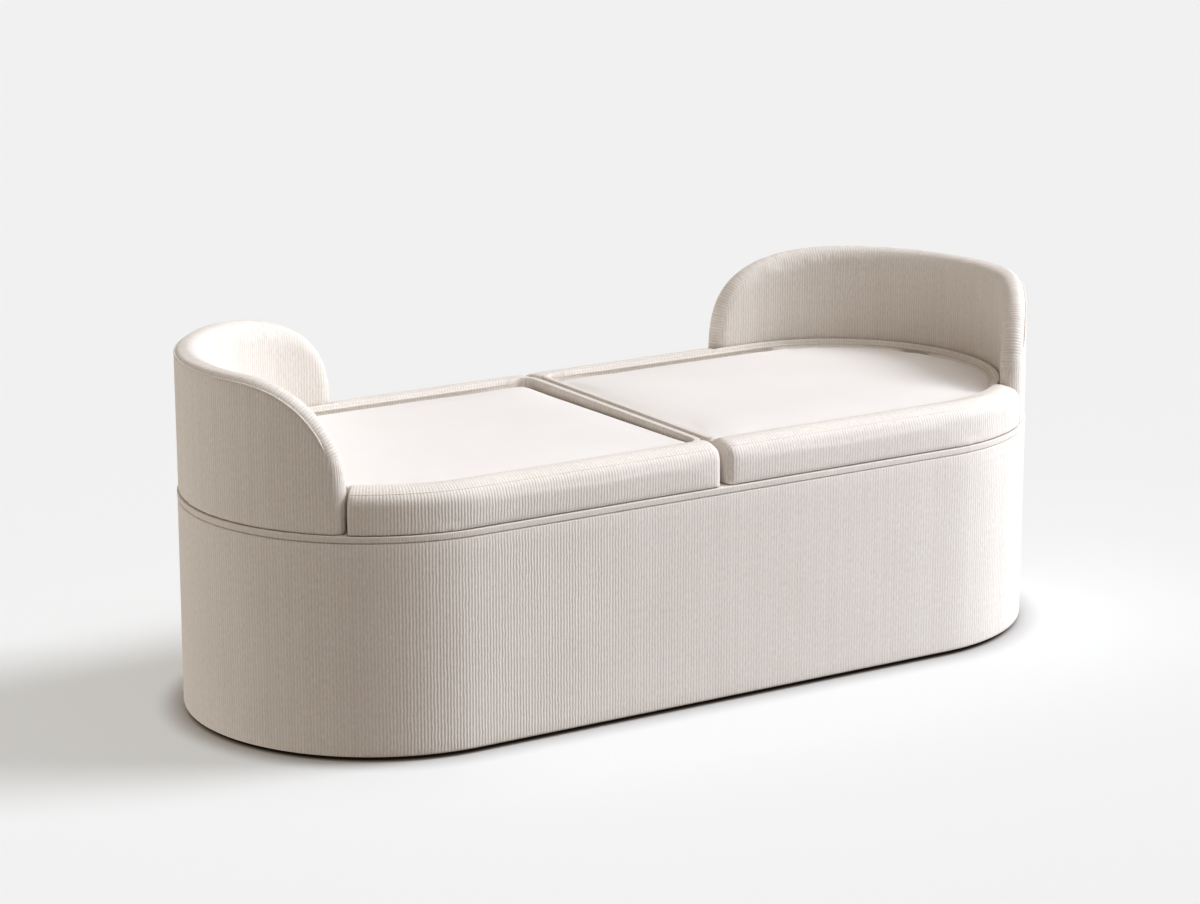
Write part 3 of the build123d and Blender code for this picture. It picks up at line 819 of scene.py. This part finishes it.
@dataclass
class Arms:
    """Two curved padded arms with bullnose crests and a piped seam on the outer face."""

    nodes: dict[str, Piece]
    voxel: float = 5 * MM
    slack: float = 1.2 * MM
    swell_cap: float = 2.2 * MM
    pressure: float = 3.0
    glued: float = 3 * MM
    free_level: float = 0.41
    foot_lift: float = 0.4 * MM
    welt_radius: float = 1.5 * MM
    welt_rise: float = 0.5 * MM
    welt_inset: float = 11 * MM
    welt_inset_front: float = 19 * MM
    welt_end: float = 0.455
    wrap_slant: float = 40 * MM
    pieces: list[tuple[Side, Piece, Piece]] = field(default_factory=list)

    def shoulder(self, run: float, fullness: float, steps: int) -> list[Vector]:
        """Curve by which the crest climbs from an arm's end: upright at the end and level at the top.

        Args:
            run: Length that the curve takes.
            fullness: How far the curve holds its two directions, as a share of its length and rise.
            steps: Number of steps along it.

        Returns:
            Distance from the end and height of each point.
        """
        low, rise = SIZES.arm_spring, SIZES.arm_top - SIZES.arm_spring
        handles = [
            Vector((0.0, low)), Vector((0.0, low + fullness * rise)),
            Vector((run * (1 - fullness), low + rise)), Vector((run, low + rise)),
        ]
        weights = (1, 3, 3, 1)
        curve = []
        for step in range(steps + 1):
            t = step / steps
            spot = Vector((0.0, 0.0))
            for power, (weight, handle) in enumerate(zip(weights, handles)):
                spot += handle * (weight * t**power * (1 - t) ** (3 - power))
            curve.append(spot)
        return curve

    def crest_line(self) -> list[Vector]:
        """Edge of the right arm's outer face: length back from its front end, and height."""
        s = SIZES
        radius, turn = s.end_radius, math.pi / 2 + s.arm_end_angle
        edge = [
            Vector((radius * math.asin(spot.x / radius), spot.y))
            for spot in self.shoulder(s.arm_front_curve, s.arm_front_fullness, 60)
        ]
        falling = []
        for spot in reversed(self.shoulder(s.arm_back_curve, s.arm_back_fullness, 90)):
            past = s.arm_back + spot.x - s.half_straight
            along = radius * (turn - math.asin(past / radius)) if past > 0 else radius * turn - past
            falling.append(Vector((along, spot.y)))
        level_from, level_to = edge[-1].x, falling[0].x
        edge += [Vector((level_from + (level_to - level_from) * step / 40, s.arm_top)) for step in range(1, 40)]
        return edge + falling

    def inset(self, height: float | np.ndarray, along: float | np.ndarray) -> float | np.ndarray:
        """Width of the strip above the piping at a height and a length back from the front end."""
        s = SIZES
        low = 1 - ramp(height, s.arm_spring, s.arm_top - s.arm_spring)
        return self.welt_inset + (self.welt_inset_front - self.welt_inset) * low * (along < s.end_radius)

    def welt_path(self, arm: Piece) -> list[Vector]:
        """Line of the piping, from the foot of the right arm's back end to part-way down its front end.

        Args:
            arm: The finished right arm, on which the piping lies.

        Returns:
            Points on the arm's surface.
        """
        edge, path, tree = self.crest_line(), [], surface_of(arm)
        for i in range(1, len(edge) - 1):
            run = (edge[i + 1] - edge[i - 1]).normalized()
            spot = edge[i] + Vector((run.y, -run.x)) * float(self.inset(edge[i].y, edge[i].x))
            if spot.y > self.welt_end or edge[i].x > SIZES.end_radius:
                path.append(spot)
        foot = path[-1].copy()
        path += [Vector((foot.x, foot.y + (SIZES.deck_level - foot.y) * step / 8)) for step in range(1, 8)]
        found = [tree.find_nearest(self.on_outer_face(spot.x, spot.y)) for spot in reversed(path)]
        laid = [place + normal * self.welt_rise for place, normal, *_ in found]
        eased = [(a + b * 2 + c) / 4 for a, b, c in zip(laid, laid[1:], laid[2:])]
        return [laid[0], *eased, laid[-1]]

    def turn_ribs(self, arm: Piece) -> None:
        """Lays the ribs square to the crest on the strip above the piping, and round the front end below it."""
        points, (corners, totals, starts) = points_of(arm), corners_of(arm)
        front = SIZES.half_straight + SIZES.end_radius * (math.pi / 2 - SIZES.arm_end_angle)
        flat = np.stack([round_the_bench(points) - front, points[:, 2]], axis=1)
        edge = np.array([tuple(spot) for spot in self.crest_line()])
        steps = np.gradient(edge, axis=0)
        steps /= np.linalg.norm(steps, axis=1)[:, None]
        run = np.concatenate([[0.0], np.cumsum(np.linalg.norm(np.diff(edge, axis=0), axis=1))])
        closest = np.concatenate(
            [np.hypot(*(part[:, None, :] - edge).transpose(2, 0, 1)).argmin(1) for part in np.array_split(flat, 24)]
        )
        away = flat - edge[closest]
        length = run[closest] + (away * steps[closest]).sum(1)
        depth = np.linalg.norm(away, axis=1)
        weave = arm.data.uv_layers["weave"].uv
        laid = np.zeros(len(corners) * 2, np.float32)
        weave.foreach_get("vector", laid)
        laid = laid.reshape(-1, 2)
        depth_left = self.inset(edge[closest, 1], edge[closest, 0]) - depth
        on_strip = np.repeat(np.add.reduceat(depth_left[corners], starts) > 0, totals)
        laid[on_strip] = np.stack([length, depth], axis=1)[corners][on_strip]
        # Below the end of the piping the outer cloth wraps round the arm's front end, with its ribs upright.
        s, spine = SIZES, spine_distance(points)
        through = s.end_radius - spine
        way = np.where(spine > s.arm_middle, flat[:, 0], -flat[:, 0])
        lowest = self.welt_end - self.wrap_slant * through / (s.end_radius - s.arm_inner)
        below = np.where(flat[:, 0] < s.end_radius, lowest - points[:, 2], -1.0)
        wrapped = on_strip & np.repeat(np.add.reduceat(below[corners], starts) > 0, totals)
        laid[wrapped] = np.stack([front + way - through, points[:, 2]], axis=1)[corners][wrapped]
        weave.foreach_set("vector", laid.ravel())

    def on_outer_face(self, along: float, height: float) -> Vector:
        """Point on the right arm's outer face at a length back from its front end and a height."""
        s = SIZES
        turn = math.pi / 2 + s.arm_end_angle
        out = s.end_radius - 0.2 * MM
        angle = along / s.end_radius
        if angle > turn:
            return Vector((s.half_straight - (along - s.end_radius * turn), out, height))
        heading = angle - s.arm_end_angle
        return Vector((s.half_straight + out * math.cos(heading), out * math.sin(heading), height))

    def build(self) -> None:
        """Models the right arm and its piping, and mirrors both to the left."""
        s = SIZES
        arm = copy_of_node(self.nodes["right_arm_pad"], "right_arm")
        hollow_out(arm, [self.nodes["right_arm_frame"]])
        even_out(arm, self.voxel, self.slack, 4)
        points = points_of(arm)
        height, tight = points[:, 2], self.slack * 0.8
        outer = ramp(spine_distance(points), s.arm_middle, 10 * MM) * ramp(height, s.deck_level, 20 * MM)
        free = np.maximum(ramp(height, self.free_level, 30 * MM), outer)
        swell(arm, height < s.deck_level + self.glued, tight + (self.swell_cap - tight) * free, self.pressure)
        set_down(arm, s.deck_level + self.foot_lift, 30 * MM)
        modify(arm, "SUBSURF", levels=1, render_levels=1)
        smooth(arm)
        lay_weave(arm, Lay.UPRIGHT)
        self.turn_ribs(arm)
        welt = tube("right_arm_welt", self.welt_path(arm), self.welt_radius, taper=5)
        lay_weave(welt, Lay.UPRIGHT)
        self.pieces = [(Side.RIGHT, arm, welt), (Side.LEFT, mirrored(arm), mirrored(welt))]

    def dress(self, finishes: Finishes) -> None:
        """Gives the arms their cloth and their place on the base."""
        for side, arm, welt in self.pieces:
            settle(arm, Body.BASE.value, finishes.ribbed, (f"{side.value}_arm_pad",))
            settle(welt, Body.BASE.value, finishes.trim)


@dataclass
class LidUpholstery:
    """Padded borders and rims of the two seat trays, with the piping at the end and the sewn line along the front."""

    nodes: dict[str, Piece]
    voxel: float = 3.5 * MM
    overlap: float = 0.8 * MM
    slack: float = 0.4 * MM
    swell_cap: float = 1.0 * MM
    pressure: float = 3.0
    glued: float = 3 * MM
    rim_edge: float = 2.2 * MM
    bead_radius: float = 2.4 * MM
    bead_inset: float = -0.8 * MM
    bead_drop: float = 7.0 * MM
    seam_radius: float = 0.6 * MM
    seam_angle: float = math.radians(52.0)
    roll_radius: float = 20 * MM
    roll_level: float = 0.3836
    covers: tuple[str, ...] = ("lid_front_border", "lid_rear_border", "lid_end_rim", "lid_gap_rim")
    timber: tuple[str, ...] = (
        "lid_board", "lid_front_rail", "lid_rear_rail", "lid_end_hoop", "lid_gap_strip",
    )
    pieces: list[tuple[Side, Piece, tuple[str, ...]]] = field(default_factory=list)

    def bead_path(self) -> list[Vector]:
        """Line of the piping at the foot of the right tray's wall, from the front border round the end to the gap."""
        s = SIZES
        radius, level = s.tray_radius + self.bead_inset, s.rim_top - self.bead_drop
        start, path = -s.lid_end_angle - math.radians(1.0), []
        for step in range(60):
            angle = start + step / 59 * (math.pi / 2 - start)
            path.append(Vector((s.half_straight + radius * math.cos(angle), radius * math.sin(angle), level)))
        straight = s.half_straight - s.tray_edge - s.tray_corner
        return path + [Vector((s.half_straight - straight * t / 24, radius, level)) for t in range(1, 25)]

    def seam_path(self, padding: Piece) -> list[Vector]:
        """Line of the sewn edge along the right lid's front roll, laid on the padding from the gap to the arm.

        Args:
            padding: The finished padding.

        Returns:
            Points on the padding's surface.
        """
        s, tree = SIZES, surface_of(padding)
        reach = s.end_radius - self.roll_radius
        turns = [(Vector((s.lid_edge + self.roll_radius, -reach, 0)), -math.pi + t * 0.1) for t in range(9, 16)]
        turns += [(Vector((0.03 + t * 0.01, -reach, 0)), -math.pi / 2) for t in range(40)]
        end = math.pi / 2 - s.lid_end_angle - 0.012
        for step in range(41):
            angle = -math.pi / 2 + step / 40 * end
            turns.append((Vector((s.half_straight + reach * math.cos(angle), reach * math.sin(angle), 0)), angle))
        path = []
        for foot, heading in turns:
            out = Vector((math.cos(heading), math.sin(heading), 0)) * math.cos(self.seam_angle)
            out.z = math.sin(self.seam_angle)
            foot.z = self.roll_level
            hit = tree.ray_cast(foot + out * 0.06, -out, 0.06)[0]
            if hit is not None:
                path.append(hit)
        return path

    def soft_share(self, points: np.ndarray) -> np.ndarray:
        """How far each point lies on the front roll or on its end at the arm, from 0 to 1."""
        s = SIZES
        front = np.where(points[:, 0] > s.half_straight, bend_angle(points) > s.lid_end_angle, points[:, 1] < 0)
        outside = ramp(outside_tray(points), 8 * MM, 8 * MM) * front
        setback = s.end_radius - spine_distance(points)
        roll = np.clip(1.4 - np.hypot(setback - 6 * MM, points[:, 2] - s.seam_level) / (20 * MM), 0.0, 1.0)
        away = (bend_angle(points) - s.lid_end_angle) * s.end_radius
        high = ramp(points[:, 2], s.rim_top - 30 * MM, 15 * MM)
        return outside * np.maximum(0.7 * roll, np.clip(1 - away / (22 * MM), 0.0, 1.0) * high)

    def flatten_rims(self, piece: Piece) -> None:
        """Brings the tops of the softened rims back up flat, with a small rounding along each side."""
        s, points = SIZES, points_of(piece)
        facing = np.zeros(len(points) * 3, np.float32)
        piece.data.vertices.foreach_get("normal", facing)
        inner, rim = outside_tray(points), s.tray_edge - s.lid_edge
        at_rear = (points[:, 1] > s.tray_radius) & (points[:, 0] < s.rear_end)
        side = np.where(at_rear, inner, np.minimum(inner, rim - inner))
        short = np.clip(1 - side / self.rim_edge, 0.0, 1.0)
        level = s.rim_top - self.rim_edge * (1 - np.sqrt(1 - short**2))
        on_bend = (points[:, 0] > s.half_straight) & (bend_angle(points) > s.lid_end_angle - 0.01)
        in_front = on_bend | (points[:, 1] < -s.tray_radius + 2 * MM)
        raised = (facing[2::3] > 0.3) & (points[:, 2] > s.rim_top - 6 * MM) & (inner > 0) & (inner < rim)
        raised &= ~in_front & ~(at_rear & (inner > 6 * MM))
        points[raised, 2] = np.maximum(points[raised, 2], level[raised])
        set_points(piece, points)

    def padding(self) -> Piece:
        """Makes the right tray's border and rims as one padded piece, glued over its board and timber."""
        timber = [self.nodes[f"right_{name}"] for name in self.timber]
        parts = []
        for name in self.covers:
            part = copy_of_node(self.nodes[f"right_{name}"], f"right_{name}_padding")
            hollow_out(part, timber)
            modify(part, "DISPLACE", strength=self.overlap, mid_level=0.0)
            parts.append(part)
        only(parts[0])
        for part in parts:
            part.select_set(True)
        bpy.ops.object.join()
        piece = bpy.context.object
        piece.name = piece.data.name = "right_lid_upholstery"
        even_out(piece, self.voxel, self.overlap + self.slack, 3)
        soften(piece, self.soft_share(points_of(piece)), 16)
        height, foot = points_of(piece)[:, 2], SIZES.skirt_bottom + self.glued
        cap = self.slack + (self.swell_cap - self.slack) * ramp(height, foot, 25 * MM)
        swell(piece, height < foot, cap, self.pressure)
        set_down(piece, SIZES.skirt_bottom, 20 * MM)
        modify(piece, "SUBSURF", levels=1, render_levels=1)
        self.flatten_rims(piece)
        smooth(piece)
        lay_weave(piece, Lay.TRAY)
        return piece

    def build(self) -> None:
        """Models the right lid's upholstery and mirrors it to the left."""
        padding = self.padding()
        bead = tube("right_lid_bead", self.bead_path(), self.bead_radius, taper=6)
        seam = tube("right_lid_seam", self.seam_path(padding), self.seam_radius)
        for cord in (bead, seam):
            lay_weave(cord, Lay.TRAY)
        for piece, nodes in ((padding, self.covers), (bead, ()), (seam, ())):
            self.pieces.append((Side.RIGHT, piece, nodes))
            self.pieces.append((Side.LEFT, mirrored(piece), nodes))

    def dress(self, finishes: Finishes) -> None:
        """Gives the borders, rims and piping their cloth and their place on the lids."""
        for side, piece, nodes in self.pieces:
            cloth, slot = (finishes.ribbed, "ribbed_cloth") if nodes else (finishes.trim, "trim_cloth")
            settle(piece, side.lid, cloth, tuple(f"{side.value}_{node}" for node in nodes))


@dataclass
class SeatPads:
    """The two smooth pads that lie in the trays, crowned and soft at the edge."""

    nodes: dict[str, Piece]
    voxel: float = 6 * MM
    slack: float = 1.5 * MM
    swell_cap: float = 3 * MM
    pressure: float = 4.0
    glued: float = 4 * MM
    firm_edge: float = 12 * MM
    crown_width: float = 60 * MM
    roll_drop_front: float = -5 * MM
    roll_drop_rear: float = 10 * MM
    roll_width: float = 40 * MM
    pieces: list[tuple[Side, Piece]] = field(default_factory=list)

    def roll_down(self, pad: Piece) -> None:
        """Sinks the pad's edge along the rear, and less along the gap and the end, up to the front where it rises."""
        s, points = SIZES, points_of(pad)
        front = ramp(bend_angle(points), s.lid_end_angle - 0.25, 0.25) * (points[:, 0] > s.half_straight)
        straight = np.minimum(s.tray_radius - points[:, 1], points[:, 0] - s.tray_edge)
        inward = np.where(points[:, 0] > s.half_straight, -outside_tray(points), straight) + front
        share = np.clip(1 - inward / self.roll_width, 0.0, 1.0) ** 2
        share *= ramp(points[:, 2], s.board_top, 30 * MM)
        rearward = ramp(points[:, 1], -s.tray_radius, 2 * s.tray_radius)
        points[:, 2] -= (self.roll_drop_front + (self.roll_drop_rear - self.roll_drop_front) * rearward) * share
        set_points(pad, points)

    def build(self) -> None:
        """Models the right pad and mirrors it to the left."""
        pad = copy_of_node(self.nodes["right_seat_pad"], "right_seat_cushion")
        even_out(pad, self.voxel, self.slack, 6)
        points, tight = points_of(pad), self.slack * 0.8
        inner = ramp(SIZES.tray_radius - spine_distance(points), self.firm_edge, self.crown_width)
        inner *= ramp(points[:, 0], SIZES.tray_edge + self.firm_edge, self.crown_width)
        cap = tight + (self.swell_cap - tight) * inner
        swell(pad, points[:, 2] < SIZES.board_top + self.glued, cap, self.pressure)
        self.roll_down(pad)
        modify(pad, "SUBSURF", levels=1, render_levels=1)
        smooth(pad)
        lay_weave(pad, Lay.FLAT)
        self.pieces = [(Side.RIGHT, pad), (Side.LEFT, mirrored(pad))]

    def dress(self, finishes: Finishes) -> None:
        """Gives the pads their cloth and their place on the lids."""
        for side, pad in self.pieces:
            settle(pad, side.lid, finishes.pad, (f"{side.value}_seat_pad",))


@dataclass
class Carcass:
    """The timber, linings, glides and fixings that come from the CAD frame as they are."""

    nodes: dict[str, Piece]

    def dress(self, finishes: Finishes) -> None:
        """Gives each CAD node that still shows its own finish."""
        bars = ("corner_posts", "divider_cleats", "lid_battens", "lid_front_rail", "lid_rear_rail", "lid_gap_strip")
        worn = dict.fromkeys(bars, finishes.pine) | {
            "bin_mat": finishes.felt, "lid_lining": finishes.underside, "dust_cover": finishes.underside,
            "glides": finishes.nylon, "lid_bumpers": finishes.rubber, "arm_bolts": finishes.zinc,
        }
        for name, node in self.nodes.items():
            if node.hide_render:
                continue
            plain = name.removeprefix("left_").removeprefix("right_")
            node.data.materials.clear()
            node.data.materials.append(worn.get(plain, finishes.plywood))


def direction(heading: float, height: float) -> Vector:
    """Unit vector towards a heading round the bench and a height above the floor, both in degrees."""
    turn, rise = math.radians(heading), math.radians(height)
    return Vector((math.cos(turn) * math.cos(rise), math.sin(turn) * math.cos(rise), math.sin(rise)))


@dataclass(frozen=True)
class SoftLight:
    """A broad light from far away, given by where it stands round the bench and how high."""

    name: str
    heading: float
    height: float
    strength: float
    spread: float
    colour: tuple[float, float, float]
    lights_floor: bool = True

    def build(self, unlit: bpy.types.Collection) -> None:
        """Adds the light to the scene.

        Args:
            unlit: Collection with the floor, marked as left out of a light that uses it.
        """
        light = new_object(self.name, bpy.data.lights.new(self.name, "SUN"))
        light.data.energy, light.data.angle, light.data.color = self.strength, math.radians(self.spread), self.colour
        light.rotation_euler = direction(self.heading, self.height).to_track_quat("Z", "Y").to_euler()
        if not self.lights_floor:
            light.light_linking.receiver_collection = unlit
            light.light_linking.blocker_collection = unlit


@dataclass
class Studio:
    """Pale seamless floor, soft lights from the right, above and behind, and the camera at the photograph's angle."""

    heading: float = -122.39
    elevation: float = 14.41
    distance: float = 5.514
    target: tuple[float, float, float] = (-0.0337, 0.0, 0.3318)
    lens: float = 106.0
    sensor: float = 36.0
    backdrop: str = "#F1F1F1"
    surroundings: tuple[float, float, float, float] = (0.15, 0.098, 0.048, 1.0)
    paper_tint: tuple[float, float, float, float] = (0.95, 1.0, 1.0, 1.0)
    # Painted glow on the paper: none 4 mm in under the bench's edge, full 50 mm out from it, which paints a soft
    # contact shadow round the foot.
    painted_glow_and_foot_shade: tuple[float, float, float, float] = (-4 * MM, 50 * MM, 0.0, 0.291)
    # Painted shade: the paper's colour, nearly black 14 mm in under the bench's edge, full white 2 mm out from it.
    painted_shade_under_bench: tuple[float, float, float, float] = (-14 * MM, 2 * MM, 0.02, 0.661)
    lights: tuple[SoftLight, ...] = (
        SoftLight("key_light", -18.0, 42.0, 2.3, 24.0, (0.96, 1.0, 1.07)),
        SoftLight("top_light", -60.0, 80.0, 0.96, 70.0, (0.97, 1.0, 1.05)),
        SoftLight("front_fill", -61.0, 34.0, 0.66, 50.0, (0.95, 1.0, 1.07), lights_floor=False),
        SoftLight("rear_fill", 136.0, -20.0, 1.3, 60.0, (1.0, 0.99, 0.95), lights_floor=False),
        SoftLight("floor_glow", 192.0, -20.0, 0.42, 80.0, (0.93, 1.0, 1.1), lights_floor=False),
    )
    softbox_place: tuple[float, float, float] = (2.1, -1.7, 0.45)
    softbox_size: float = 0.9
    softbox_power: float = 32.0
    softbox_colour: tuple[float, float, float] = (0.92, 1.0, 1.13)

    def floor_finish(self) -> Material:
        """Seamless paper: white and matt, with a painted glow that lifts it a little so that the shadow on it stays
        pale; the glow fades out at the bench's foot, a painted contact shadow.
        """
        material, tree = new_material("seamless paper")
        place = add_node(tree, "ShaderNodeTexCoord").outputs["Object"]
        axes = add_node(tree, "ShaderNodeSeparateXYZ", {0: place})
        past = add_node(tree, MATH, {0: axes}, operation="ABSOLUTE")
        past = add_node(tree, MATH, {0: past, 1: SIZES.half_straight}, operation="SUBTRACT")
        past = add_node(tree, MATH, {0: past, 1: 0.0}, operation="MAXIMUM")
        plan = add_node(tree, "ShaderNodeCombineXYZ", {0: past, 1: axes.outputs[1]})
        away = add_node(tree, "ShaderNodeVectorMath", {0: plan}, operation="LENGTH").outputs["Value"]
        # Painted shade: the paper's colour darkens under the bench, standing in for the deep shade there, which shows
        # as a dark line along the gap at the floor.
        lift, shade = (
            add_node(
                tree, "ShaderNodeMapRange",
                {0: away, 1: SIZES.end_radius + start, 2: SIZES.end_radius + stop, 3: low, 4: high},
                interpolation_type="SMOOTHSTEP",
            )
            for start, stop, low, high in (self.painted_glow_and_foot_shade, self.painted_shade_under_bench)
        )
        sockets = {"Base Color": shade, "Roughness": 0.9, "Specular IOR Level": 0.0}
        sockets |= {"Emission Color": self.paper_tint, "Emission Strength": lift}
        shader = add_node(tree, "ShaderNodeBsdfPrincipled", sockets)
        add_node(tree, "ShaderNodeOutputMaterial", {0: shader})
        return material

    def build_floor(self) -> bpy.types.Collection:
        """Makes the floor, and returns the collection that leaves it out of a light."""
        bpy.ops.object.select_all(action="DESELECT")
        bpy.ops.mesh.primitive_plane_add(size=60.0)
        floor = bpy.context.object
        floor.name = "studio_floor"
        floor.data.materials.append(self.floor_finish())
        floor.visible_diffuse = False
        unlit = bpy.data.collections.new("left out of the fill lights")
        unlit.objects.link(floor)
        unlit.collection_objects[0].light_linking.link_state = "EXCLUDE"
        return unlit

    def build_surroundings(self) -> None:
        """Makes the world: a pale backdrop to the eye, and a dim warm room to the bench."""
        world = bpy.data.worlds.new("studio")
        bpy.context.scene.world = world
        world.use_nodes = True
        tree = world.node_tree
        tree.nodes.clear()
        seen = add_node(tree, "ShaderNodeLightPath").outputs["Is Camera Ray"]
        sides = {0: seen, 6: self.surroundings, 7: linear(self.backdrop)}
        colour = add_node(tree, "ShaderNodeMix", sides, data_type="RGBA").outputs[2]
        sky = add_node(tree, "ShaderNodeBackground", {0: colour, 1: 1.0})
        add_node(tree, "ShaderNodeOutputWorld", {0: sky})

    def build(self) -> None:
        """Makes the floor, the surroundings, the lights and the camera."""
        unlit = self.build_floor()
        bpy.context.scene.view_settings.view_transform = "Standard"
        self.build_surroundings()
        for light in self.lights:
            light.build(unlit)
        softbox = new_object("front_softbox", bpy.data.lights.new("front_softbox", "AREA"))
        softbox.data.energy, softbox.data.size = self.softbox_power, self.softbox_size
        softbox.data.color = self.softbox_colour
        softbox.location = self.softbox_place
        aim = softbox.location - Vector((SIZES.half_straight, -SIZES.end_radius, SIZES.band_bottom / 2))
        softbox.rotation_euler = aim.to_track_quat("Z", "Y").to_euler()
        softbox.light_linking.receiver_collection = unlit

        camera = new_object("camera", bpy.data.cameras.new("camera"))
        camera.data.lens, camera.data.sensor_width, camera.data.clip_end = self.lens, self.sensor, 100.0
        back = direction(self.heading, self.elevation)
        camera.location = Vector(self.target) + back * self.distance
        camera.rotation_euler = back.to_track_quat("Z", "Y").to_euler()
        bpy.context.scene.camera = camera


def main() -> None:
    """Builds and dresses the bench's sub-assemblies in order, then the studio."""
    logging.basicConfig(level=logging.INFO, format="%(name)s %(message)s")
    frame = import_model()
    nodes = frame["nodes"]
    finishes = Finishes()
    for assembly in (BaseUpholstery(), Arms(nodes), LidUpholstery(nodes), SeatPads(nodes)):
        assembly.build()
        assembly.dress(finishes)
        log.info("%s done", type(assembly).__name__)
    Carcass(nodes).dress(finishes)
    Studio().build()


if __name__ == "__main__":
    main()
